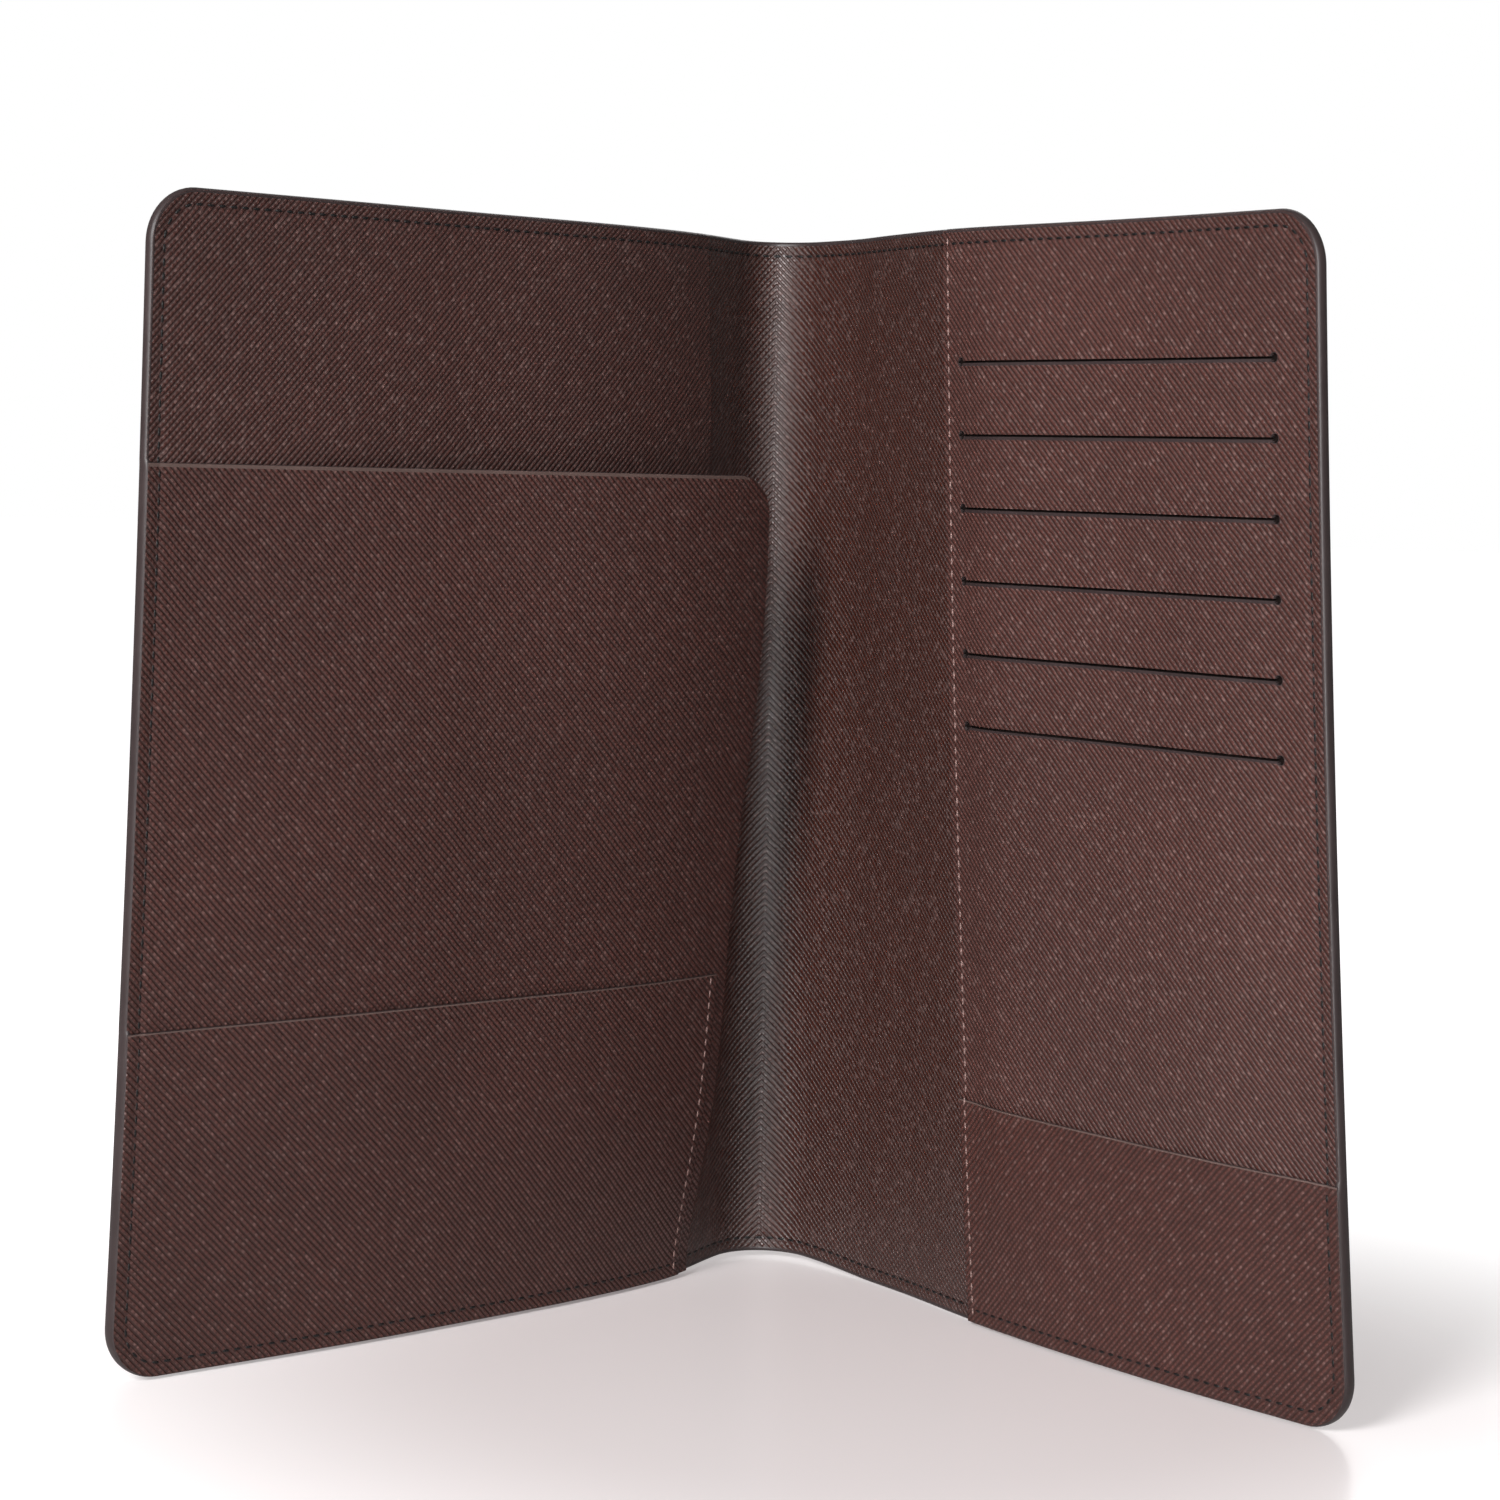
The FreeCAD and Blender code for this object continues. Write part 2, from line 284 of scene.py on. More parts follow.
# ---- heights of the layers above the lining ----
def seam_release(s, z):
    """0 in the sewn margins at the outside, head and foot of a cover, 1 in the open middle."""
    return (ease((COVER_W - 5 * MM - s) / (30 * MM)) * ease((z - 5 * MM) / (28 * MM))
            * ease((HEIGHT - 5 * MM - z) / (28 * MM)))


def slip_top(s, z):
    shape = bpy.context.scene.holder_shape
    across = np.clip((COVER_W - s) / (COVER_W - shape.slip_start), 0, 1)
    free = ease((z - 3 * MM) / (45 * MM)) * ease((HEIGHT - 3 * MM - z) / (45 * MM))
    return shape.slip + shape.slip_rise * across * free


def leaf_under(s, z):
    """Underside of the pocket leaf."""
    shape = bpy.context.scene.holder_shape
    across = np.clip((COVER_W - 6 * MM - s) / (COVER_W - 6 * MM - shape.leaf_start), 0, 1)
    lift = smooth_curve(z, LEAF_LIFT[:, 0], LEAF_LIFT[:, 1])
    return slip_top(s, z) + CLEAR + np.maximum(lift, 0) * across ** 1.35


def leaf_top(s, z):
    return leaf_under(s, z) + bpy.context.scene.holder_shape.leaf


def leaf_pocket_under(s, z):
    shape = bpy.context.scene.holder_shape
    gape = ease((z - 8 * MM) / (64 * MM)) * ease((COVER_W - 6 * MM - s) / (60 * MM)) * ease(
        (s - shape.leaf_pocket_start - 2 * MM) / (50 * MM))
    return leaf_top(s, z) + CLEAR + 0.5 * MM * gape


def leaf_pocket_top(s, z):
    return leaf_pocket_under(s, z) + bpy.context.scene.holder_shape.leaf_pocket


def panel_top(s, z):
    """Face of the card panel without its slots."""
    shape = bpy.context.scene.holder_shape
    from_inner = ease((s - shape.panel_start - 3 * MM) / (14 * MM))
    return shape.panel_edge + (shape.panel_face - shape.panel_edge) * from_inner * seam_release(s, z)


def back_pocket_under(s, z):
    shape = bpy.context.scene.holder_shape
    gape = ease((z - 8 * MM) / (44 * MM)) * ease((COVER_W - 6 * MM - s) / (50 * MM)) * ease(
        (s - shape.panel_start - 4 * MM) / (40 * MM))
    return panel_top(s, z) + CLEAR + 0.4 * MM * gape


def back_pocket_top(s, z):
    return back_pocket_under(s, z) + bpy.context.scene.holder_shape.back_pocket


def top_layer(side, s, z):
    """Highest leather at a place in the margins of a cover."""
    shape = bpy.context.scene.holder_shape
    soft = 0.6 * MM
    if side == FRONT:
        on_slip = ease((s - shape.slip_start) / soft + 0.5)
        on_leaf = on_slip * ease((shape.leaf_height - z) / soft + 0.5)
        on_pocket = on_slip * ease((shape.leaf_pocket_height - z) / soft + 0.5)
        return shape.slip * on_slip + shape.leaf * on_leaf + shape.leaf_pocket * on_pocket
    on_panel = ease((s - shape.panel_start) / soft + 0.5)
    on_pocket = on_panel * ease((shape.back_pocket_height - z) / soft + 0.5)
    return shape.panel_edge * on_panel + shape.back_pocket * on_pocket


# ---- mesh work ----
def lines(stops, step):
    """Places through every stop, no further apart than step."""
    stops = sorted(set(round(stop, 7) for stop in stops))
    out = [stops[0]]
    for low, high in zip(stops, stops[1:]):
        parts = max(1, math.ceil((high - low) / step - 1e-6))
        out += [low + (high - low) * i / parts for i in range(1, parts + 1)]
    return np.array(out)


def round_corners(s, z, radii):
    """Pull a grid's corners onto arcs. radii: inner foot, inner head, outer foot, outer head."""
    s0, s1, z0, z1 = s.min(), s.max(), z.min(), z.max()
    new_s, new_z = s.copy(), z.copy()
    for radius, outer, head in zip(radii, (0, 0, 1, 1), (0, 1, 0, 1)):
        if not radius:
            continue
        a = (s - (s1 - radius)) / radius if outer else ((s0 + radius) - s) / radius
        b = (z - (z1 - radius)) / radius if head else ((z0 + radius) - z) / radius
        inside = (a > 0) & (b > 0)
        round_a, round_b = a * np.sqrt(1 - b * b / 2), b * np.sqrt(1 - a * a / 2)
        target_s = s1 - radius + round_a * radius if outer else s0 + radius - round_a * radius
        target_z = z1 - radius + round_b * radius if head else z0 + radius - round_b * radius
        new_s[inside], new_z[inside] = target_s[inside], target_z[inside]
    return new_s, new_z


def new_piece(name, points, faces, finishes, flat=None, face_finish=None, sharp=40):
    """A mesh object at the origin, with its flat layout as a UV map in metres."""
    mesh = bpy.data.meshes.new(name)
    mesh.from_pydata(points.tolist(), [], [list(face) for face in faces])
    for finish in finishes:
        mesh.materials.append(finish)
    if face_finish is not None:
        mesh.polygons.foreach_set("material_index", np.asarray(face_finish, np.int32))
    if flat is not None:
        corners = np.zeros(len(mesh.loops), np.int32)
        mesh.loops.foreach_get("vertex_index", corners)
        mesh.uv_layers.new(name="flat").data.foreach_set("uv", flat[corners].astype(np.float32).ravel())
        mesh.attributes.new("margin", "FLOAT", "POINT").data.foreach_set(
            "value", cover_margin(flat[:, 0], flat[:, 1]).astype(np.float32))
    mesh.polygons.foreach_set("use_smooth", np.ones(len(mesh.polygons), bool))
    mesh.update()
    mesh.set_sharp_from_angle(angle=math.radians(sharp))
    piece = bpy.data.objects.new(name, mesh)
    bpy.context.scene.collection.objects.link(piece)
    return piece


def sewn_slab(name, side, s_lines, z_lines, top, under, finishes, radii=(0, 0, 0, 0), bulge=0.12 * MM,
              marks=None):
    """A closed piece of leather between two height functions, with rounded rims in the second finish."""
    s, z = np.meshgrid(s_lines, z_lines, indexing="ij")
    s, z = round_corners(s, z, radii)
    count_s, count_z = s.shape
    top_n, under_n = top(s, z) - sewn_in(s, z), under(s, z)
    index = np.arange(count_s * count_z).reshape(count_s, count_z)
    loop = np.concatenate([index[:-1, 0], index[-1, :-1], index[:0:-1, -1], index[0, :0:-1]])
    loop_s, loop_z = s.ravel()[loop], z.ravel()[loop]
    ahead_s, ahead_z = np.roll(loop_s, -1) - np.roll(loop_s, 1), np.roll(loop_z, -1) - np.roll(loop_z, 1)
    length = np.hypot(ahead_s, ahead_z)
    out_s, out_z = ahead_z / length, -ahead_s / length
    high, low = top_n.ravel()[loop], under_n.ravel()[loop]
    rings_s, rings_z = [s.ravel(), s.ravel()], [z.ravel(), z.ravel()]
    rings_n = [top_n.ravel(), under_n.ravel()]
    rings = 3
    for ring in range(1, rings + 1):
        turn = math.pi * ring / (rings + 1)
        rings_s.append(loop_s + out_s * bulge * math.sin(turn))
        rings_z.append(loop_z + out_z * bulge * math.sin(turn))
        rings_n.append(high + (low - high) * (1 - math.cos(turn)) / 2)
    all_s, all_n, all_z = (np.concatenate(part) for part in (rings_s, rings_n, rings_z))
    points = place(side, all_s, all_n, all_z)
    total = count_s * count_z
    quads = np.stack([index[:-1, :-1], index[1:, :-1], index[1:, 1:], index[:-1, 1:]], axis=-1).reshape(-1, 4)
    faces = [quads, (quads + total)[:, ::-1]]
    finish = [np.zeros(len(quads), int), np.zeros(len(quads), int)]
    if marks is not None:
        middle_s, middle_z = s.ravel()[quads].mean(1), z.ravel()[quads].mean(1)
        finish[0] = marks(middle_s, middle_z)
    between = [2 * total + len(loop) * ring + np.arange(len(loop)) for ring in range(rings)]
    chain = [loop, *between, loop + total]
    for near, far in zip(chain, chain[1:]):
        strip = np.stack([near, far, np.roll(far, -1), np.roll(near, -1)], axis=-1)
        faces.append(strip)
        finish.append(np.ones(len(strip), int))
    faces = np.concatenate(faces)
    if side == FRONT:
        faces = faces[:, ::-1]
    return new_piece(name, points, faces, finishes, np.stack([all_s, all_z], axis=-1), np.concatenate(finish))


def painted_highlight_strip(top, lip):
    """Marks the last strip below a pocket's open edge for the third finish, whose lighter colour is a painted
    highlight.
    """
    return lambda s, z: np.where(z > top - lip, 2, 0)


def low_pocket_lines(height):
    """Upright grid lines of a low pocket, with one where its lip of painted highlight starts."""
    return np.sort(np.append(edge_grid(EDGE, height, 3.0 * MM), height - LOW_LIP))


def outline(inset, step=2.0 * MM):
    """Flat line along a cover's head, outer edge and foot, from the spine's middle and back to it."""
    edge = EDGE + inset
    radius = CORNER_R - inset
    s1, z0, z1 = COVER_W - edge, edge, HEIGHT - edge
    turn = np.linspace(0, math.pi / 2, 15)
    head = lines([-SPINE_HALF, 0.016, 0.0615, s1 - radius], step)
    side = lines([z0 + radius, 0.051, 0.072, 0.188, z1 - radius], step)[::-1]
    s = np.concatenate([head, s1 - radius + radius * np.sin(turn)[1:], np.full(len(side) - 1, s1),
                        s1 - radius + radius * np.cos(turn)[1:], head[::-1][1:]])
    z = np.concatenate([np.full(len(head), z1), z1 - radius + radius * np.cos(turn)[1:], side[1:],
                        z0 + radius - radius * np.sin(turn)[1:], np.full(len(head) - 1, z0)])
    return s, z


def bend_with_spine(piece):
    """Bake the cover's leather into its mesh where it stands. Nothing here ties it to its cover or bends it
    over the fold.
    """
    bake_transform(piece)


# ---- finishes ----
def feed(tree, socket, value):
    """Link an output to a socket, or set the socket to a number, name, vector or colour."""
    if isinstance(value, bpy.types.NodeSocket):
        tree.links.new(value, socket)
    else:
        socket.default_value = value


def node(tree, kind, inputs=None, **settings):
    """A new node. inputs gives what its sockets take, by name or by number."""
    made = tree.nodes.new(kind)
    for key, value in settings.items():
        setattr(made, key, value)
    for key, value in (inputs or {}).items():
        feed(tree, made.inputs[key], value)
    return made


def new_sockets(tree, in_out, *sockets):
    """Inputs or outputs of a node group: name, kind and, where it has one, default."""
    for name, kind, *default in sockets:
        made = tree.interface.new_socket(name, in_out=in_out, socket_type="NodeSocket" + kind)
        if default:
            made.default_value = default[0]


def math_node(tree, operation, *values, clamp=False):
    inputs = dict(enumerate(values))
    return node(tree, "ShaderNodeMath", inputs, operation=operation, use_clamp=clamp).outputs[0]


def mix_colour(tree, factor, first, second, blend="MIX"):
    """From the first colour to the second. Each is three numbers or an output."""
    first, second = ((*part, 1.0) if isinstance(part, tuple) else part for part in (first, second))
    inputs = {"Factor": factor, 6: first, 7: second}
    return node(tree, "ShaderNodeMix", inputs, data_type="RGBA", blend_type=blend).outputs[2]


def noise(tree, vector, scale, detail):
    inputs = {"Vector": vector, "Scale": scale, "Detail": detail, "Roughness": 0.5}
    return node(tree, "ShaderNodeTexNoise", inputs, noise_dimensions="3D").outputs["Fac"]


def rise(tree, value, low, high):
    """0 below low, 1 above high, and smooth between."""
    inputs = {"Value": value, "From Min": low, "From Max": high}
    return node(tree, "ShaderNodeMapRange", inputs, interpolation_type="SMOOTHSTEP").outputs[0]


def cross_grain():
    """Node group: slanting rows of small raised bumps, with dark pits between them."""
    made = bpy.data.node_groups.get("cross_grain")
    if made:
        return made
    made = bpy.data.node_groups.new("cross_grain", "ShaderNodeTree")
    new_sockets(made, "INPUT", ("Flat", "Vector"), ("Pitch", "Float", 1.12 * MM), ("Lean", "Float", 1.0),
                ("Raised", "Color"), ("Pits", "Color"), ("Worn", "Color"), ("Wear", "Float", 0.4),
                ("Dullness", "Float", 0.3))
    new_sockets(made, "OUTPUT", ("Colour", "Color"), ("Roughness", "Float"), ("Height", "Float"))
    given, result = node(made, "NodeGroupInput").outputs, node(made, "NodeGroupOutput").inputs
    flat = given["Flat"]
    scale = math_node(made, "DIVIDE", 1.0, given["Pitch"])
    along, upward = node(made, "ShaderNodeSeparateXYZ", {0: flat}).outputs[:2]
    sideways = math_node(made, "MULTIPLY", along, given["Lean"])
    wander = noise(made, flat, 240.0, 2.0)
    # Two sets of rows cross at right angles. Each wanders a little, and a cell is where two rows meet.
    rows, cell = [], []
    for operation, stray in (("SUBTRACT", 0.5), ("ADD", 0.35)):
        diagonal = math_node(made, operation, sideways, upward)
        diagonal = math_node(made, "MULTIPLY", math_node(made, "MULTIPLY", diagonal, math.sqrt(0.5)), scale)
        diagonal = math_node(made, "MULTIPLY_ADD", wander, stray, diagonal)
        wave = math_node(made, "COSINE", math_node(made, "MULTIPLY", diagonal, math.tau))
        rows.append(math_node(made, "MULTIPLY_ADD", wave, 0.5, 0.5))
        cell.append(diagonal)
    cell_place = node(made, "ShaderNodeCombineXYZ", dict(enumerate(cell))).outputs[0]
    spots = node(made, "ShaderNodeTexVoronoi", {"Vector": cell_place, "Scale": 1.0, "Randomness": 0.0},
                 voronoi_dimensions="2D", feature="F1")
    own = node(made, "ShaderNodeSeparateColor", {0: spots.outputs["Color"]}).outputs
    notch = math_node(made, "MULTIPLY_ADD", rows[0], 0.42, 0.58)
    raised = math_node(made, "MULTIPLY", rise(made, rows[1], 0.0, 0.8), notch)
    own_height = math_node(made, "MULTIPLY_ADD", own[0], 0.35, 0.8)
    height = math_node(made, "MULTIPLY", raised, own_height)
    height = math_node(made, "MULTIPLY_ADD", noise(made, flat, 2600.0, 2.0), 0.12, height)
    tone = mix_colour(made, raised, given["Pits"], given["Raised"])
    # A few bump tops mixed towards a bright colour: painted glints on the grain.
    painted_glint_tops = math_node(made, "MULTIPLY", rise(made, own[2], 0.78, 0.98),
                          math_node(made, "POWER", raised, 2.0))
    tone = mix_colour(made, math_node(made, "MULTIPLY", painted_glint_tops, given["Wear"]), tone, given["Worn"])
    own_shade = math_node(made, "MULTIPLY_ADD", own[1], 0.24, 0.9)
    shade = math_node(made, "MULTIPLY_ADD", noise(made, flat, 14.0, 3.0), 0.5, 0.75)
    shade = math_node(made, "MULTIPLY", shade, own_shade)
    grey = node(made, "ShaderNodeCombineColor", {0: shade, 1: shade, 2: shade}).outputs[0]
    rough = math_node(made, "MULTIPLY_ADD", raised, -0.3, math_node(made, "ADD", given["Dullness"], 0.3))
    feed(made, result["Colour"], mix_colour(made, 1.0, tone, grey, "MULTIPLY"))
    feed(made, result["Roughness"], math_node(made, "MULTIPLY_ADD", own[2], 0.14, rough))
    feed(made, result["Height"], height)
    return made


def new_finish(name):
    """A material by this name. It comes with its tree and shader when it is new."""
    finish = bpy.data.materials.get(name)
    if finish:
        return finish, None, None
    finish = bpy.data.materials.new(name)
    finish.use_nodes = True
    tree = finish.node_tree
    tree.nodes.clear()
    shader = node(tree, "ShaderNodeBsdfPrincipled")
    node(tree, "ShaderNodeOutputMaterial", {0: shader.outputs[0]})
    return finish, tree, shader


def dress(tree, shader, tone, rough, specular=0.5):
    """Give a shader its colour, its roughness and how strongly it reflects."""
    feed(tree, shader.inputs["Base Color"], tone)
    feed(tree, shader.inputs["Roughness"], rough)
    shader.inputs["Specular IOR Level"].default_value = specular


def emboss(tree, shader, height, depth, share=1.0):
    """Let a height that changes over the surface stand out of it."""
    bump = node(tree, "ShaderNodeBump", {"Strength": share, "Distance": depth, "Height": height})
    feed(tree, shader.inputs["Normal"], bump.outputs[0])


def grained_leather(name, raised, dullness, specular, glint_share, lean=1.0, depth_share=1.0):
    """Cross-grain leather or canvas on a piece's flat map, calm along the stitches. Lean -1 turns it."""
    finish, tree, shader = new_finish(name)
    if tree is None:
        return finish
    look, inset = bpy.context.scene.holder_finish, bpy.context.scene.holder_thread.inset
    flat = node(tree, "ShaderNodeUVMap", uv_map="flat").outputs[0]
    values = {"Flat": flat, "Pitch": look.grain, "Lean": lean, "Raised": (*raised, 1),
              "Pits": (*look.pits, 1), "Worn": (*look.painted_glint, 1), "Wear": glint_share, "Dullness": dullness}
    grain = node(tree, "ShaderNodeGroup", values, node_tree=cross_grain()).outputs
    margin = node(tree, "ShaderNodeAttribute", attribute_name="margin").outputs["Fac"]
    from_line = math_node(tree, "ABSOLUTE", math_node(tree, "SUBTRACT", margin, inset))
    pressed = math_node(tree, "SUBTRACT", 1.0, math_node(tree, "DIVIDE", from_line, 0.9 * MM), clamp=True)
    # Between the stitches and the edge the leather is darkened a little towards the pits colour: painted
    # shade.
    margin_painted_shade = math_node(tree, "LESS_THAN", margin, inset)
    smooth = tuple(channel * 0.62 for channel in raised)
    tone = mix_colour(tree, math_node(tree, "MULTIPLY", pressed, 0.85), grain["Colour"], smooth)
    tone = mix_colour(tree, math_node(tree, "MULTIPLY", margin_painted_shade, 0.2), tone, tuple(look.pits))
    dress(tree, shader, tone, grain["Roughness"], specular)
    emboss(tree, shader, grain["Height"], look.grain_depth * depth_share)
    return finish


def panel_leather():
    look = bpy.context.scene.holder_finish
    return grained_leather("panel leather", look.panel, dullness=0.30, specular=0.32, glint_share=0.4)


def slip_leather_painted_shade():
    """The panels' leather, darker as painted shade."""
    shade = tuple(0.84 * channel for channel in bpy.context.scene.holder_finish.panel)
    return grained_leather("slip pocket leather with painted shade", shade, dullness=0.30, specular=0.32, glint_share=0.4)


def turned_leather():
    """The panels' leather, cut the other way round."""
    look = bpy.context.scene.holder_finish
    return grained_leather("panel leather turned", look.panel, dullness=0.30, specular=0.3, glint_share=0.3,
                           lean=-1.0)


def lining_leather():
    look = bpy.context.scene.holder_finish
    return grained_leather("lining leather", look.lining, dullness=0.27, specular=0.5, glint_share=0.3)


def outer_canvas():
    look = bpy.context.scene.holder_finish
    return grained_leather("outer canvas", look.canvas, dullness=0.28, specular=0.4, glint_share=0.6,
                           depth_share=0.7)


def smooth_edge(name, tint):
    """Painted leather edge, or a lighter lip that is a painted highlight: nearly smooth, with a soft uneven
    sheen.
    """
    finish, tree, shader = new_finish(name)
    if tree is None:
        return finish
    place_in = node(tree, "ShaderNodeTexCoord").outputs["Object"]
    patches, dust = noise(tree, place_in, 90.0, 4.0), noise(tree, place_in, 900.0, 2.0)
    warm = tuple(channel * 1.9 for channel in tint)
    tone = mix_colour(tree, patches, tuple(tint), warm)
    dress(tree, shader, tone, math_node(tree, "MULTIPLY_ADD", patches, 0.2, 0.38), specular=0.35)
    emboss(tree, shader, dust, 0.05 * MM, 0.6)
    return finish


def edge_paint():
    return smooth_edge("edge paint", bpy.context.scene.holder_finish.paint)


def lip_with_painted_highlight():
    return smooth_edge("lip with painted highlight", bpy.context.scene.holder_finish.painted_lip_highlight)


def wave_bands(tree, vector, direction, scale, distortion=0.0):
    inputs = {"Vector": vector, "Scale": scale, "Distortion": distortion}
    bands = node(tree, "ShaderNodeTexWave", inputs, wave_type="BANDS", bands_direction=direction)
    return bands.outputs["Fac"]


def thread(name, tint):
    """Waxed thread: fine twist across each stitch."""
    finish, tree, shader = new_finish(name)
    if tree is None:
        return finish
    place_in = node(tree, "ShaderNodeTexCoord").outputs["Object"]
    twist = wave_bands(tree, place_in, "DIAGONAL", 900.0, 1.5)
    dark = tuple(channel * 0.45 for channel in tint)
    tone = mix_colour(tree, twist, dark, tuple(tint))
    dress(tree, shader, tone, math_node(tree, "MULTIPLY_ADD", twist, 0.2, 0.5), specular=0.25)
    emboss(tree, shader, twist, 0.05 * MM, 0.8)
    return finish


def dark_thread():
    return thread("dark thread", bpy.context.scene.holder_finish.dark_thread)


def light_thread():
    return thread("light thread", bpy.context.scene.holder_finish.light_thread)


def sleeve_cloth_and_slot_shade():
    """Plain woven cloth of the card sleeves, seen only as darkness in the slots; on the card panel it also
    covers the cut walls of the slots and holes as painted shade.
    """
    finish, tree, shader = new_finish("sleeve cloth and painted slot shade")
    if tree is None:
        return finish
    look = bpy.context.scene.holder_finish
    flat = node(tree, "ShaderNodeUVMap", uv_map="flat").outputs[0]
    weave = math_node(tree, "MULTIPLY", *(wave_bands(tree, flat, way, 700.0) for way in ("X", "Y")))
    dark = tuple(channel * 0.4 for channel in look.sleeve)
    tone = mix_colour(tree, weave, dark, tuple(look.sleeve))
    dress(tree, shader, tone, math_node(tree, "MULTIPLY_ADD", weave, 0.1, 0.85), specular=0.05)
    return finish


# ---- stitches ----
def stitch_tree():
    """Geometry nodes: one raised stitch after another along a line, flat on the leather."""
    made = bpy.data.node_groups.get("stitches along a line")
    if made:
        return made
    made = bpy.data.node_groups.new("stitches along a line", "GeometryNodeTree")
    new_sockets(made, "INPUT", ("Geometry", "Geometry"), ("Pitch", "Float", 2.8 * MM),
                ("Stitch Length", "Float", 1.8 * MM), ("Stitch Width", "Float", 0.62 * MM),
                ("Stitch Proud", "Float", 0.34 * MM), ("Thread", "Material"))
    new_sockets(made, "OUTPUT", ("Geometry", "Geometry"))
    given, result = node(made, "NodeGroupInput").outputs, node(made, "NodeGroupOutput").inputs
    line = node(made, "GeometryNodeMeshToCurve", {"Mesh": given["Geometry"]}).outputs["Curve"]
    spaced = node(made, "GeometryNodeResampleCurve", {"Curve": line, "Length": given["Pitch"]}, mode="LENGTH")
    tangent = node(made, "GeometryNodeInputTangent").outputs[0]
    up = node(made, "GeometryNodeInputNamedAttribute", {"Name": "leather_normal"}, data_type="FLOAT_VECTOR")
    ahead = node(made, "FunctionNodeAlignRotationToVector", {"Vector": tangent}, axis="X")
    flat = node(made, "FunctionNodeAlignRotationToVector",
                {"Rotation": ahead.outputs[0], "Vector": up.outputs["Attribute"]}, axis="Z", pivot_axis="X")
    ball = node(made, "GeometryNodeMeshUVSphere", {"Segments": 8, "Rings": 5, "Radius": 0.5})
    size_of_one = (given["Stitch Length"], given["Stitch Width"], given["Stitch Proud"])
    stretch = node(made, "ShaderNodeCombineXYZ", dict(enumerate(size_of_one)))
    each = node(made, "GeometryNodeInstanceOnPoints",
                {"Points": spaced.outputs["Curve"], "Instance": ball.outputs["Mesh"],
                 "Rotation": flat.outputs[0], "Scale": stretch.outputs[0]})
    real = node(made, "GeometryNodeRealizeInstances", {0: each.outputs[0]})
    soft = node(made, "GeometryNodeSetShadeSmooth", {0: real.outputs[0]})
    waxed = node(made, "GeometryNodeSetMaterial", {"Geometry": soft.outputs[0], "Material": given["Thread"]})
    feed(made, result[0], waxed.outputs[0])
    return made


def stitches(name, side, rows, thread_finish):
    """Bake rows of stitches to one mesh. A row is s, z, n and +1 or -1 for the inside or the outside."""
    sizes = bpy.context.scene.holder_thread
    points, normals, edges = [], [], []
    for s, z, n, facing in rows:
        first = sum(len(part) for part in points)
        points.append(place(side, s, n, z))
        normals.append(facing * normal_at(side * (s + SPINE_HALF), z))
        edges += [(first + i, first + i + 1) for i in range(len(s) - 1)]
    mesh = bpy.data.meshes.new(name + " line")
    mesh.from_pydata(np.concatenate(points).tolist(), edges, [])
    mesh.attributes.new("leather_normal", "FLOAT_VECTOR", "POINT").data.foreach_set(
        "vector", np.concatenate(normals).astype(np.float32).ravel())
    line = bpy.data.objects.new(name + "_line", mesh)
    bpy.context.scene.collection.objects.link(line)
    sewing = line.modifiers.new("stitches", "NODES")
    tree = stitch_tree()
    sewing.node_group = tree
    wanted = {"Pitch": sizes.pitch, "Stitch Length": sizes.length, "Stitch Width": sizes.width,
              "Stitch Proud": sizes.proud, "Thread": thread_finish}
    for socket in tree.interface.items_tree:
        if socket.in_out == "INPUT" and socket.name in wanted:
            sewing[socket.identifier] = wanted[socket.name]
    evaluated = line.evaluated_get(bpy.context.evaluated_depsgraph_get())
    baked = bpy.data.meshes.new_from_object(evaluated)
    baked.name = name
    bpy.data.objects.remove(line)
    piece = bpy.data.objects.new(name, baked)
    bpy.context.scene.collection.objects.link(piece)
    return piece


# ---- pieces ----
def grid_lines(*stretches):
    """Grid lines over stretches that follow one another. Each is its stops and its widest step."""
    return np.unique(np.concatenate([lines(stops, step) for stops, step in stretches]).round(7))


def edge_grid(start, stop, step, stops=()):
    """Grid lines through the stops, close together near both ends."""
    low, high = start + CORNER_R, stop - CORNER_R
    return grid_lines(([start, low], FINE_STEP), ([low, *stops, high], step), ([high, stop], FINE_STEP))


def cover_grid():
    """Grid lines of a cover and its half of the spine, close together over the fold and near the edges."""
    fold_end, corner, outer = 30 * MM, COVER_W - EDGE - CORNER_R, COVER_W - EDGE
    s = grid_lines(([-SPINE_HALF, fold_end], 1.1 * MM), ([fold_end, corner], 3.2 * MM),
                   ([corner, outer], 1.1 * MM))
    return s, edge_grid(EDGE, HEIGHT - EDGE, 4.48 * MM)


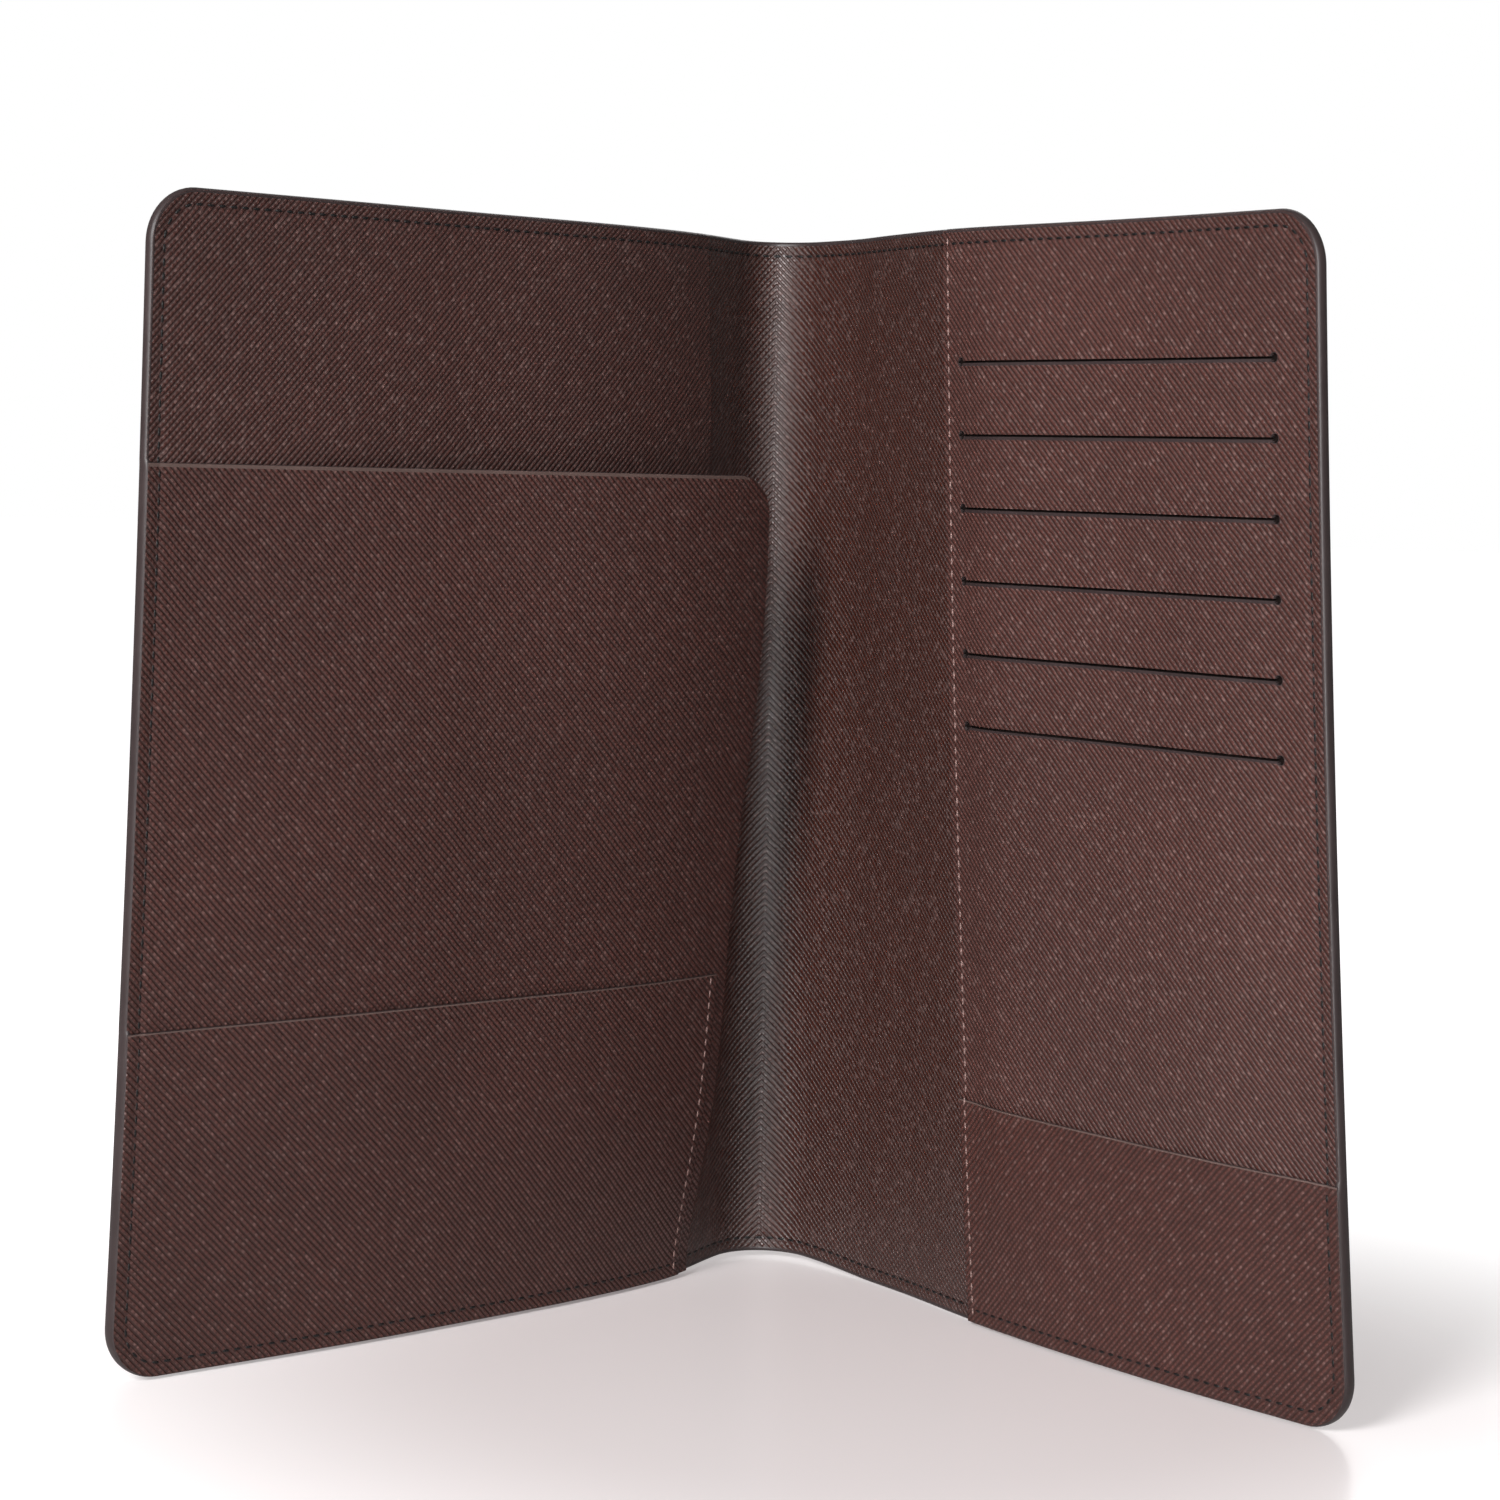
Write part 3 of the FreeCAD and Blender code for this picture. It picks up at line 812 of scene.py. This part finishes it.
def painted_edge(side, name):
    """Rounded painted edge round one cover, as thick as the layers sewn together there."""
    shape = bpy.context.scene.holder_shape
    s, z = outline(0.0, 1.2 * MM)
    ahead_s, ahead_z = np.gradient(s), np.gradient(z)
    length = np.hypot(ahead_s, ahead_z)
    out_s, out_z = -ahead_z / length, ahead_s / length
    high = top_layer(side, s - out_s * MM, z - out_z * MM) + 0.05 * MM
    low = np.full(len(s), -shape.cover - 0.05 * MM)
    middle, half = (high + low) / 2, (high - low) / 2
    # Round outside and flat on the leather: millimetres outwards, and share of half the thickness.
    turns = [math.radians(angle) for angle in (-90, -72, -50, -26, 0, 26, 50, 72, 90)]
    profile = [(-0.35 + 0.83 * math.cos(turn) ** 0.8, math.sin(turn)) for turn in turns]
    profile += [(-1.0, 0.8), (-1.0, -0.8)]
    rings_s = np.stack([s + out_s * out * MM for out, _ in profile], axis=1)
    rings_z = np.stack([z + out_z * out * MM for out, _ in profile], axis=1)
    rings_n = np.stack([middle + half * share for _, share in profile], axis=1)
    points = place(side, rings_s.ravel(), rings_n.ravel(), rings_z.ravel())
    count, around = rings_s.shape
    index = np.arange(count * around).reshape(count, around)
    near, far = index[:-1], index[1:]
    strip = np.stack([near, np.roll(near, -1, 1), np.roll(far, -1, 1), far], axis=-1).reshape(-1, 4)
    faces = [tuple(face) for face in strip] + [tuple(index[0][::-1]), tuple(index[-1])]
    if side == BACK:
        faces = [face[::-1] for face in faces]
    along = np.repeat(np.cumsum(length), around)
    flat = np.stack([along, np.tile(np.linspace(0, 6 * MM, around), count)], axis=-1)
    return new_piece(name + "_edge_paint_rolled", points, faces, [edge_paint()], flat, sharp=60)


def level(offset):
    """Height function of a layer that keeps one distance from the lining's face."""
    return lambda s, z: 0 * s + offset


class HOLDER_OT_linings(bpy.types.Operator):
    """Line each cover and its half of the spine with grained leather"""
    bl_idname = "holder.linings"
    bl_label = "Linings"

    def execute(self, context):
        shape = context.scene.holder_shape
        s, z = cover_grid()
        for side, name in SIDES:
            piece = sewn_slab(name + "_lining_leather", side, s, z, level(0.0), level(-shape.lining),
                              [lining_leather(), edge_paint()], (0, 0, CORNER_R, CORNER_R), 0.0)
            bend_with_spine(piece)
            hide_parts(name + "_lining", "spine_lining")
        return {"FINISHED"}


class HOLDER_OT_outside(bpy.types.Operator):
    """Cover the boards outside with plain grained canvas"""
    bl_idname = "holder.outside"
    bl_label = "Outside"

    def execute(self, context):
        shape = context.scene.holder_shape
        s, z = cover_grid()
        for side, name in SIDES:
            piece = sewn_slab(name + "_outer_canvas", side, s, z,
                              level(-shape.lining - 0.01 * MM), level(-shape.cover),
                              [outer_canvas(), edge_paint()], (0, 0, CORNER_R, CORNER_R), 0.0)
            bend_with_spine(piece)
            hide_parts(name + "_outer_skin", name + "_board", "spine_outer_skin", "spine_stiffener")
        return {"FINISHED"}


class HOLDER_OT_painted_edges(bpy.types.Operator):
    """Roll paint round the covers' cut edges"""
    bl_idname = "holder.painted_edges"
    bl_label = "Painted edges"

    def execute(self, context):
        for side, name in SIDES:
            piece = painted_edge(side, name)
            bend_with_spine(piece)
            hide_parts(name + "_edge_paint", "spine_top_edge_paint", "spine_bottom_edge_paint")
        return {"FINISHED"}


class HOLDER_OT_slip_pocket(bpy.types.Operator):
    """Sew the full-height slip pocket inside the front cover"""
    bl_idname = "holder.slip_pocket"
    bl_label = "Slip pocket"

    def execute(self, context):
        shape = context.scene.holder_shape
        s = edge_grid(shape.slip_start, COVER_W - EDGE, 3.5 * MM)
        z = edge_grid(EDGE, HEIGHT - EDGE, 4.5 * MM)
        piece = sewn_slab("front_slip_pocket_leather", FRONT, s, z,
                          slip_top, lambda s, z: slip_top(s, z) - shape.slip + 0.02 * MM,
                          [slip_leather_painted_shade(), edge_paint()], (0, 0, CORNER_R, CORNER_R))
        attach(piece, "front_cover")
        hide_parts("front_slip_pocket")
        return {"FINISHED"}


class HOLDER_OT_pocket_leaf(bpy.types.Operator):
    """Sew in the pocket leaf with its lifted free edge, and the low pocket on it"""
    bl_idname = "holder.pocket_leaf"
    bl_label = "Pocket leaf"

    def execute(self, context):
        shape = context.scene.holder_shape
        s = edge_grid(shape.leaf_start, COVER_W - EDGE, 3.0 * MM)
        z = edge_grid(EDGE, shape.leaf_height, 3.5 * MM)
        finishes = [turned_leather(), edge_paint(), lip_with_painted_highlight()]
        leaf = sewn_slab("pocket_leaf_leather", FRONT, s, z, leaf_top, leaf_under, finishes,
                         (0, shape.leaf_corner, CORNER_R, 0), marks=painted_highlight_strip(shape.leaf_height, LEAF_LIP))
        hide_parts("front_pocket_leaf")
        s = edge_grid(shape.leaf_pocket_start, COVER_W - EDGE, 3.0 * MM)
        z = low_pocket_lines(shape.leaf_pocket_height)
        pocket = sewn_slab("leaf_low_pocket_leather", FRONT, s, z, leaf_pocket_top, leaf_pocket_under,
                           finishes, (0, 0, CORNER_R, 0),
                           marks=painted_highlight_strip(shape.leaf_pocket_height, LOW_LIP))
        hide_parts("leaf_lower_pocket")
        for piece in (leaf, pocket):
            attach(piece, "front_cover")
        return {"FINISHED"}


# ---- card slots ----
def slot_heights():
    shape = bpy.context.scene.holder_shape
    return [shape.slot_top - shape.slot_pitch * i for i in range(shape.slots)]


def slot_ends():
    """Flat distance from the fold to the slots' two ends, where the holes are punched."""
    shape = bpy.context.scene.holder_shape
    return shape.slot_start, shape.slot_start + shape.slot_length


def slot_cut(s, z):
    """1 inside a slot or a punched hole, 0 on the leather."""
    shape = bpy.context.scene.holder_shape
    half_gap, hole, ends = shape.slot_gap / 2, shape.slot_hole, slot_ends()
    mask = np.zeros_like(s)
    for slot in slot_heights():
        gap = ease((half_gap * 1.2 - np.abs(z - slot)) / (half_gap * 0.45))
        mask = np.maximum(mask, gap * ((s > ends[0]) & (s < ends[1])))
        for end in ends:
            away = np.hypot(s - end, z - slot)
            mask = np.maximum(mask, ease((hole * 1.08 - away) / (hole * 0.16)))
    return mask


def slotted_face(s, z):
    """Face of the card panel. It gapes below each slot, has a raised lip there, and is cut for it."""
    shape = bpy.context.scene.holder_shape
    face = panel_top(s, z)
    for slot in slot_heights():
        along = np.clip((s - shape.slot_start) / shape.slot_length, 0, 1)
        gape = np.sin(math.pi * along) ** 0.7
        below = np.exp(-((slot - z) / (7 * MM)) ** 2) * (z < slot)
        lip = ease((slot - z) / (0.3 * MM)) * ease((z - slot + 1.3 * MM) / (0.25 * MM))
        face = face + (0.28 * gape * below + 0.08 * lip * (along > 0) * (along < 1)) * MM
    return face - SLOT_DEPTH * slot_cut(s, z)


def slot_marks(s, z):
    """Second finish on the lip below each slot and round each hole, third finish inside them: the dark sleeve
    cloth, as painted shade on the cut walls.
    """
    hole, ends = bpy.context.scene.holder_shape.slot_hole, slot_ends()
    mark = np.zeros(len(s), int)
    for slot in slot_heights():
        mark[(z < slot) & (z > slot - 0.85 * MM) & (s > ends[0]) & (s < ends[1])] = 1
        for end in ends:
            mark[np.hypot(s - end, z - slot) < hole * 1.3] = 1
    # Cut walls of the slots and holes take the dark cloth: painted shade.
    mark[slot_cut(s, z) > 0.03] = 2
    return mark


def card_panel_grid(outer):
    """Grid lines of the card panel, closest together round its slots and holes."""
    shape = bpy.context.scene.holder_shape
    half_gap = shape.slot_gap / 2
    near_hole = [shape.slot_hole * share for share in (1.55, 1.25, 1.08, 0.92, 0.6, 0.3, 0.0)]
    near_gap = [half_gap * 0.75, half_gap * 1.2]
    s_stops = [end + sign * step for end in slot_ends() for step in near_hole for sign in (-1, 1)]
    z_steps = [-1.3 * MM, -1.05 * MM] + [sign * step for step in near_hole + near_gap for sign in (-1, 1)]
    z_stops = [slot + step for slot in slot_heights() for step in z_steps]
    inner, sewn, corner = shape.panel_start, shape.panel_start + 4 * MM, outer - CORNER_R
    s = grid_lines(([inner, sewn], 1 * MM), ([sewn, *s_stops, corner], 3.2 * MM),
                   ([corner, outer], FINE_STEP))
    return s, edge_grid(EDGE, HEIGHT - EDGE, 3.4 * MM, z_stops)


def card_sleeve(number, slot):
    """Cloth sleeve that hangs behind a slot."""
    start, end = slot_ends()
    s = lines([start + 1 * MM, end - 1 * MM], 12 * MM)
    z = lines([max(slot - SLEEVE_DROP, 60 * MM), slot], 12 * MM)
    sleeve = sewn_slab(f"card_sleeve_cloth_{number}", BACK, s, z, level(0.13 * MM), level(0.05 * MM),
                       [sleeve_cloth_and_slot_shade(), sleeve_cloth_and_slot_shade()], bulge=0.03 * MM)
    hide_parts(f"card_sleeve_{number}")
    return sleeve


class HOLDER_OT_card_panel(bpy.types.Operator):
    """Sew the card panel to the back cover, with its cut slots, punched holes and sleeves"""
    bl_idname = "holder.card_panel"
    bl_label = "Card panel"

    def execute(self, context):
        shape = context.scene.holder_shape
        outer = COVER_W - EDGE
        s, z = card_panel_grid(outer)
        panel = sewn_slab("card_panel_leather", BACK, s, z, slotted_face, level(0.02 * MM),
                          [panel_leather(), edge_paint(), sleeve_cloth_and_slot_shade()], (0, 0, CORNER_R, CORNER_R),
                          marks=slot_marks)
        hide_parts("card_panel")
        s = edge_grid(shape.panel_start, outer, 3.0 * MM)
        z = low_pocket_lines(shape.back_pocket_height)
        pocket = sewn_slab("back_low_pocket_leather", BACK, s, z, back_pocket_top, back_pocket_under,
                           [turned_leather(), edge_paint(), lip_with_painted_highlight()], (0, 0, CORNER_R, 0),
                           marks=painted_highlight_strip(shape.back_pocket_height, LOW_LIP))
        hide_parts("back_lower_pocket")
        sleeves = [card_sleeve(number, slot) for number, slot in enumerate(slot_heights(), 1)]
        for piece in (panel, pocket, *sleeves):
            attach(piece, "back_cover")
        return {"FINISHED"}


def inner_seam(name, side, body, node_name, seam):
    """Light stitches up an inner seam, riding on one cover."""
    piece = stitches(name, side, [seam], light_thread())
    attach(piece, body)
    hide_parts(node_name)


class HOLDER_OT_stitching(bpy.types.Operator):
    """Sew round the covers and along the inner seams"""
    bl_idname = "holder.stitching"
    bl_label = "Stitching"

    def execute(self, context):
        shape, sizes = context.scene.holder_shape, context.scene.holder_thread
        s, z = outline(sizes.inset - EDGE)
        for side, name in SIDES:
            inside = (s, z, top_layer(side, s, z) - sewn_in(s, z) + 0.08 * MM, 1)
            outside = (s, z, 0 * s - shape.cover - 0.02 * MM, -1)
            piece = stitches(name + "_stitches", side, [inside, outside], dark_thread())
            bend_with_spine(piece)
            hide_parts("front_stitching" if side == FRONT else "back_pocket_stitching",
                        "spine_top_stitching", "spine_bottom_stitching")
        s = shape.panel_start + 1.9 * MM
        z = lines([3 * MM, HEIGHT - 3 * MM], 3 * MM)
        face = np.where(z < shape.back_pocket_height, back_pocket_top(s, z), panel_top(s, z))
        inner_seam("card_panel_seam_stitches", BACK, "back_cover", "card_panel_stitching",
                   (0 * z + s, z, face + 0.02 * MM, 1))
        s = shape.leaf_pocket_start + 1.8 * MM
        z = lines([3 * MM, shape.leaf_pocket_height - 1.5 * MM], 2 * MM)
        inner_seam("leaf_pocket_seam_stitches", FRONT, "front_cover", "leaf_pocket_stitching",
                   (0 * z + s, z, leaf_pocket_top(s, z) + 0.02 * MM, 1))
        return {"FINISHED"}


# ---- stage ----
def pale_floor(look):
    """Floor that glows white, and less so close to the holder: a painted shadow."""
    mesh = bpy.data.meshes.new("floor")
    corners = [(x, y, FLOOR_Z) for x, y in ((-6, -4), (6, -4), (6, 9), (-6, 9))]
    mesh.from_pydata(corners, [], [(0, 1, 2, 3)])
    floor = bpy.data.objects.new("floor", mesh)
    bpy.context.scene.collection.objects.link(floor)
    finish, tree, shader = new_finish("pale floor")
    mesh.materials.append(finish)
    place_in = node(tree, "ShaderNodeTexCoord").outputs["Object"]
    cloud = noise(tree, place_in, 1.5, 2.0)
    paler = tuple(min(1.0, channel * 1.03) for channel in look.floor)
    tone = mix_colour(tree, cloud, tuple(look.floor), paler)
    dress(tree, shader, tone, math_node(tree, "MULTIPLY_ADD", cloud, 0.06, 0.2))
    centred = node(tree, "ShaderNodeVectorMath", {0: place_in, 1: PAINTED_SHADOW_CENTRE}, operation="SUBTRACT")
    away = node(tree, "ShaderNodeVectorMath", {0: centred.outputs[0]}, operation="LENGTH")
    far = rise(tree, away.outputs["Value"], *PAINTED_SHADOW_REACH)
    # Dimmer glow near the holder, white farther off: painted shadow on the floor.
    glow = mix_colour(tree, far, tuple(look.floor_painted_shadow), (1.0, 1.0, 1.0))
    seen = node(tree, "ShaderNodeLightPath").outputs["Is Camera Ray"]
    feed(tree, shader.inputs["Emission Color"], mix_colour(tree, seen, (0.0, 0.0, 0.0), glow))
    shader.inputs["Emission Strength"].default_value = look.glow


def white_surroundings(look):
    """White all round: bright where it is seen, and weaker as light."""
    world = bpy.data.worlds.new("white surroundings")
    bpy.context.scene.world = world
    world.use_nodes = True
    tree = world.node_tree
    sky = tree.nodes["Background"]
    sky.inputs["Color"].default_value = (1, 1, 1, 1)
    seen = node(tree, "ShaderNodeLightPath").outputs["Is Camera Ray"]
    brightness = math_node(tree, "MULTIPLY_ADD", seen, look.backdrop - look.bounce, look.bounce)
    feed(tree, sky.inputs["Strength"], brightness)


def soft_light(name, spot, wide, tall, power):
    """Elliptical light that faces the middle of the holder."""
    lamp = bpy.data.lights.new(name, "AREA")
    lamp.shape, lamp.size, lamp.size_y, lamp.energy = "ELLIPSE", wide, tall, power
    light = bpy.data.objects.new(name, lamp)
    light.location = spot
    light.rotation_mode = "QUATERNION"
    light.rotation_quaternion = (Vector((0.0, 0.0, HEIGHT / 2)) - Vector(spot)).to_track_quat("-Z", "Y")
    bpy.context.scene.collection.objects.link(light)
    return light


def place_camera():
    lens = bpy.data.cameras.new("camera")
    lens.sensor_width, lens.lens = 36.0, CAMERA_LENS
    lens.clip_start, lens.clip_end = 0.05, 50.0
    camera = bpy.data.objects.new("camera", lens)
    yaw, pitch, roll = (math.radians(angle) for angle in CAMERA_TURN)
    ahead = Vector((-math.sin(yaw) * math.cos(pitch), math.cos(yaw) * math.cos(pitch), math.sin(pitch)))
    right = ahead.cross(Vector((0, 0, 1))).normalized()
    above = right.cross(ahead)
    rolled_right = right * math.cos(roll) + above * math.sin(roll)
    rolled_above = above * math.cos(roll) - right * math.sin(roll)
    turn = Matrix((rolled_right, rolled_above, -ahead)).transposed()
    camera.matrix_world = Matrix.Translation(CAMERA_SPOT) @ turn.to_4x4()
    bpy.context.scene.collection.objects.link(camera)
    bpy.context.scene.camera = camera


class HOLDER_OT_stage(bpy.types.Operator):
    """Set the pale floor, the soft lights and the camera"""
    bl_idname = "holder.stage"
    bl_label = "Stage"

    def execute(self, context):
        look = context.scene.holder_stage
        pale_floor(look)
        white_surroundings(look)
        soft_light("key light", (-0.6, -1.2, 0.75), 0.55, 0.55, look.key)
        soft_light("fill light", (0.35, -1.3, 0.45), 0.5, 0.5, look.fill)
        soft_light("back light", (0.15, 1.25, 0.8), 0.8, 0.8, look.back)
        glint = soft_light("glint light", (0.03, -1.35, 0.4), 0.22, 1.1, look.glint)
        glint.visible_diffuse = False
        context.scene.view_settings.view_transform = "Standard"
        place_camera()
        return {"FINISHED"}


class HOLDER_PT_maker(bpy.types.Panel):
    """Steps and sizes of the document holder"""
    bl_idname = "HOLDER_PT_maker"
    bl_label = "Document holder"
    bl_space_type = "VIEW_3D"
    bl_region_type = "UI"
    bl_category = "Holder"

    def draw(self, context):
        for step in STEPS:
            self.layout.operator(step.bl_idname)
        for group in ("holder_shape", "holder_thread", "holder_finish", "holder_stage"):
            values = getattr(context.scene, group)
            box = self.layout.box()
            for key in values.__annotations__:
                box.prop(values, key)


STEPS = (HOLDER_OT_linings, HOLDER_OT_outside, HOLDER_OT_painted_edges, HOLDER_OT_slip_pocket,
         HOLDER_OT_pocket_leaf, HOLDER_OT_card_panel, HOLDER_OT_stitching, HOLDER_OT_stage)
GROUPS = {"holder_shape": HolderShape, "holder_thread": HolderThread, "holder_finish": HolderFinish,
          "holder_stage": HolderStage}


def register():
    for made in (*GROUPS.values(), *STEPS, HOLDER_PT_maker):
        bpy.utils.register_class(made)
    for name, group in GROUPS.items():
        setattr(bpy.types.Scene, name, PointerProperty(type=group))


def unregister():
    for name in GROUPS:
        delattr(bpy.types.Scene, name)
    for made in reversed((*GROUPS.values(), *STEPS, HOLDER_PT_maker)):
        bpy.utils.unregister_class(made)


def main():
    """Build every piece and the stage."""
    register()
    bpy.ops.holder.linings()
    bpy.ops.holder.outside()
    bpy.ops.holder.painted_edges()
    bpy.ops.holder.slip_pocket()
    bpy.ops.holder.pocket_leaf()
    bpy.ops.holder.card_panel()
    bpy.ops.holder.stitching()
    bpy.ops.holder.stage()


if __name__ == "__main__":
    main()
